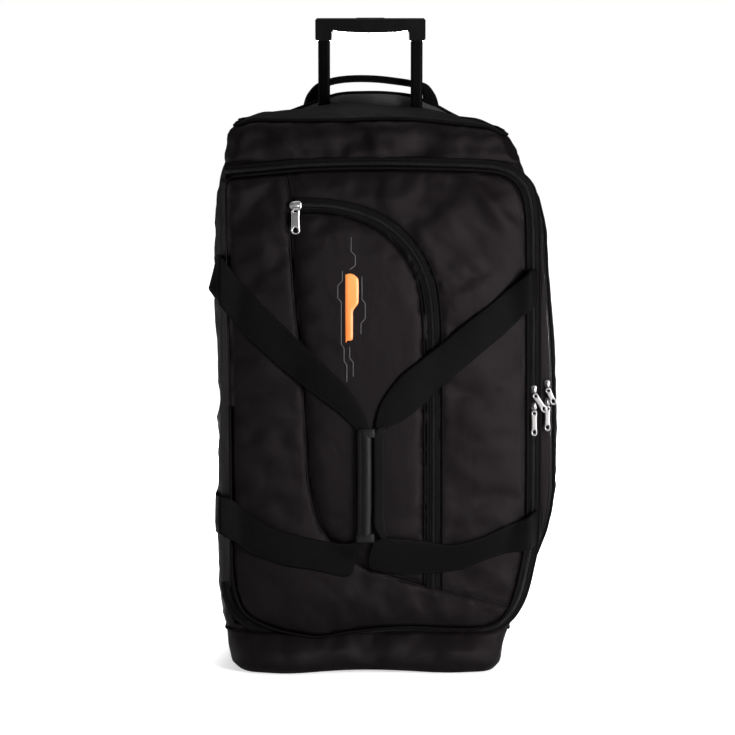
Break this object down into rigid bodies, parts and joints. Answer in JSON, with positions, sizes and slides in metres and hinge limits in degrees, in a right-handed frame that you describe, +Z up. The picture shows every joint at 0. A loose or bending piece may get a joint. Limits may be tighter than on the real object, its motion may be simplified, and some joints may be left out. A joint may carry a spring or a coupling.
{
  "type": "rolling duffel bag",
  "caption": "Upright wheeled soft duffel bag with a zipped front lid, curved pocket, side pocket, webbing carry loops, grab loop and telescopic push-button handle.",
  "frame": {"origin": "centre of the footprint on the floor, at the middle of the bounding box in X and Y", "axes": "+Z up; -Y is the front with the lid; +X is the side with the side pocket"},
  "size_m": [0.5116, 0.3355, 0.9378],
  "materials": {
    "shell_fabric": "matt polyester",
    "webbing": "woven webbing",
    "lining": "thin taffeta",
    "zip_tape": "coil zipper tape",
    "zip_metal": "nickel plated",
    "badge": "moulded patch",
    "wrap": "smooth synthetic leather",
    "grip_plastic": "satin moulded",
    "tube": "satin anodised",
    "board": "extruded sheet",
    "housing_plastic": "grained moulded",
    "button": "polished",
    "tyre": "moulded",
    "hub": "moulded",
    "steel": "zinc plated"
  },
  "bodies": {
    "root": {"body_top_cap": "shell_fabric", "body_bottom_cap": "shell_fabric", "body_left_gusset": "shell_fabric", "body_right_gusset": "shell_fabric", "body_back_fabric": "shell_fabric", "lining": "lining", "base_board": "board", "back_stiffener_board": "board", "back_panel": "shell_fabric", "body_piping": "webbing", "main_zipper_body_tape": "zip_tape", "left_strap_roots": "webbing", "strap_anchor_patches": "webbing", "side_pocket_gusset": "shell_fabric", "side_pocket_zipper": "zip_tape", "trolley_outer_tubes": "tube", "trolley_bezel": "housing_plastic", "trolley_base_bracket": "housing_plastic", "wheel_axles": "steel", "wheel_housing_left": "housing_plastic", "wheel_housing_right": "housing_plastic", "front_feet": "housing_plastic", "base_screws": "steel"},
    "lid": {"lid_panel": "shell_fabric", "lid_piping": "webbing", "main_zipper_lid_tape": "zip_tape", "front_pocket_panel": "shell_fabric", "front_pocket_zipper": "zip_tape", "front_badge": "badge"},
    "left_carry": {"left_carry_strap": "webbing", "left_grip_wrap": "wrap"},
    "right_strap_root": {"right_strap_roots": "webbing"},
    "right_carry": {"right_carry_strap": "webbing"},
    "side_flap": {"side_pocket_panel": "shell_fabric", "side_pocket_piping": "webbing"},
    "grab_loop": {"top_grab_loop": "webbing"},
    "handle_mid": {"trolley_mid_tubes": "tube", "trolley_mid_collars": "grip_plastic"},
    "handle_inner": {"trolley_inner_tubes": "tube", "grip_front_shell": "grip_plastic", "grip_rear_shell": "grip_plastic", "inner_tube_plugs": "housing_plastic"},
    "grip_button": {"grip_button": "button", "push_rods": "steel"},
    "lock_pin_left": {"lock_pin_left": "steel"},
    "lock_pin_right": {"lock_pin_right": "steel"},
    "wheel_left": {"tyre_left": "tyre", "hub_left": "hub"},
    "wheel_right": {"tyre_right": "tyre", "hub_right": "hub"},
    "pocket_slider": {"pocket_slider": "zip_metal"},
    "pocket_pull": {"pocket_pull": "zip_metal"},
    "main_upper_slider": {"main_upper_slider": "zip_metal"},
    "main_upper_pull": {"main_upper_pull": "zip_metal"},
    "main_lower_slider": {"main_lower_slider": "zip_metal"},
    "main_lower_pull": {"main_lower_pull": "zip_metal"},
    "side_upper_slider": {"side_upper_slider": "zip_metal"},
    "side_upper_pull": {"side_upper_pull": "zip_metal"},
    "side_lower_slider": {"side_lower_slider": "zip_metal"},
    "side_lower_pull": {"side_lower_pull": "zip_metal"}
  },
  "joints": [
    {"name": "carry_left_swing", "type": "hinge", "parent": "lid", "child": "left_carry", "pos_m": [-0.2265, -0.158, 0.35], "axis": [0, 0, -1], "range_deg": [0, 100]},
    {"name": "carry_right_swing", "type": "hinge", "parent": "right_strap_root", "child": "right_carry", "pos_m": [0.2075, -0.158, 0.35], "axis": [0, 0, 1], "range_deg": [0, 110]},
    {"name": "grab_loop_flop", "type": "hinge", "parent": "root", "child": "grab_loop", "pos_m": [-0.0165, 0.1647, 0.7975], "axis": [-1, 0, 0], "range_deg": [0, 85]},
    {"name": "grip_button_press", "type": "slide", "parent": "handle_inner", "child": "grip_button", "axis": [0, 0, -1], "range_m": [0, 0.004]},
    {"name": "handle_lower_slide", "type": "slide", "parent": "root", "child": "handle_mid", "axis": [0, 0, 1], "range_m": [0, 0.15]},
    {"name": "handle_upper_slide", "type": "slide", "parent": "handle_mid", "child": "handle_inner", "axis": [0, 0, 1], "range_m": [-0.094, 0.056]},
    {"name": "lid_open", "type": "hinge", "parent": "root", "child": "lid", "pos_m": [-0.2245, -0.132, 0.39], "axis": [0, 0, -1], "range_deg": [0, 100], "deforming": ["right_carry_strap", "right_strap_roots", "left_strap_roots"]},
    {"name": "lock_pin_left_retract", "type": "slide", "parent": "handle_inner", "child": "lock_pin_left", "axis": [1, 0, 0], "range_m": [0, 0.003]},
    {"name": "lock_pin_right_retract", "type": "slide", "parent": "handle_inner", "child": "lock_pin_right", "axis": [-1, 0, 0], "range_m": [0, 0.003]},
    {"name": "right_root_fold", "type": "hinge", "parent": "root", "child": "right_strap_root", "pos_m": [0.2325, -0.104, 0.36], "axis": [0, 0, 1], "range_deg": [0, 100]},
    {"name": "side_flap_open", "type": "hinge", "parent": "root", "child": "side_flap", "pos_m": [0.2425, 0.099, 0.4], "axis": [0, 0, 1], "range_deg": [0, 100]},
    {"name": "wheel_left_spin", "type": "hinge", "parent": "root", "child": "wheel_left", "pos_m": [-0.1605, 0.132, 0.036], "axis": [1, 0, 0], "continuous": true},
    {"name": "wheel_right_spin", "type": "hinge", "parent": "root", "child": "wheel_right", "pos_m": [0.1275, 0.132, 0.036], "axis": [1, 0, 0], "continuous": true},
    {"name": "zip_pocket_slide", "type": "slide", "parent": "lid", "child": "pocket_slider", "axis": [1, 0, 0], "range_m": [0, 0.03]},
    {"name": "zip_pocket_pull_lift", "type": "hinge", "parent": "pocket_slider", "child": "pocket_pull", "pos_m": [-0.1235, -0.1573, 0.6623], "axis": [-1, 0, 0], "range_deg": [0, 110]},
    {"name": "zip_main_upper_slide", "type": "slide", "parent": "root", "child": "main_upper_slider", "axis": [0, 0, 1], "range_m": [0, 0.09]},
    {"name": "zip_main_upper_pull_lift", "type": "hinge", "parent": "main_upper_slider", "child": "main_upper_pull", "pos_m": [0.2175, -0.1399, 0.3958], "axis": [-1, 0, 0], "range_deg": [0, 110]},
    {"name": "zip_main_lower_slide", "type": "slide", "parent": "root", "child": "main_lower_slider", "axis": [0, 0, -1], "range_m": [0, 0.12]},
    {"name": "zip_main_lower_pull_lift", "type": "hinge", "parent": "main_lower_slider", "child": "main_lower_pull", "pos_m": [0.2175, -0.1399, 0.3718], "axis": [-1, 0, 0], "range_deg": [0, 110]},
    {"name": "zip_side_upper_slide", "type": "slide", "parent": "root", "child": "side_upper_slider", "axis": [0, 0, 1], "range_m": [0, 0.12]},
    {"name": "zip_side_upper_pull_lift", "type": "hinge", "parent": "side_upper_slider", "child": "side_upper_pull", "pos_m": [0.2394, -0.1049, 0.3983], "axis": [-1, 0, 0], "range_deg": [0, 110]},
    {"name": "zip_side_lower_slide", "type": "slide", "parent": "root", "child": "side_lower_slider", "axis": [0, 0, -1], "range_m": [0, 0.12]},
    {"name": "zip_side_lower_pull_lift", "type": "hinge", "parent": "side_lower_slider", "child": "side_lower_pull", "pos_m": [0.2394, -0.1049, 0.3723], "axis": [-1, 0, 0], "range_deg": [0, 68]}
  ],
  "couplings": [
    {"joint": "right_root_fold", "follows": "lid_open", "ratio": 1},
    {"joint": "lock_pin_left_retract", "follows": "grip_button_press", "ratio": 0.75},
    {"joint": "lock_pin_right_retract", "follows": "grip_button_press", "ratio": 0.75}
  ]
}
